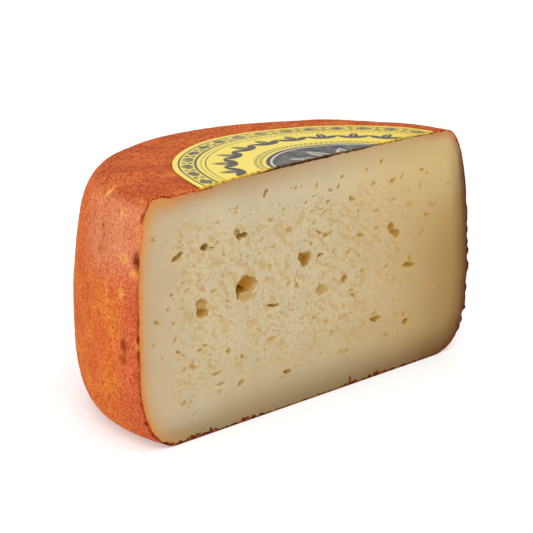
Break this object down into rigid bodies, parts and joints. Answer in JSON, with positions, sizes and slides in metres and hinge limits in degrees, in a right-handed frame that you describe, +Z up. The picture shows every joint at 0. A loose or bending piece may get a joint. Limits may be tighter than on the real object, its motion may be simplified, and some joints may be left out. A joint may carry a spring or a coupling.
{
  "type": "paprika goat cheese half",
  "caption": "Half wheel of pressed goat cheese, cut through the middle, with a paprika-rubbed rind, small eyes in the cut and a round paper label on top.",
  "frame": {"origin": "middle of the base of the half wheel, on the surface that it stands on", "axes": "+X along the cut, towards its right end seen from the front; the cut face looks along -Y; +Z up"},
  "size_m": [0.1746, 0.0872, 0.0906],
  "materials": {
    "paprika_rind": "matt, finely speckled orange-red paprika rub on the rind; the cut paste is ivory to beige and slightly moist",
    "printed_paper": "yellow printed paper, half gloss, with dark rings"
  },
  "bodies": {
    "root": {"cheese_half": "paprika_rind", "paper_label": "printed_paper"}
  },
  "joints": []
}
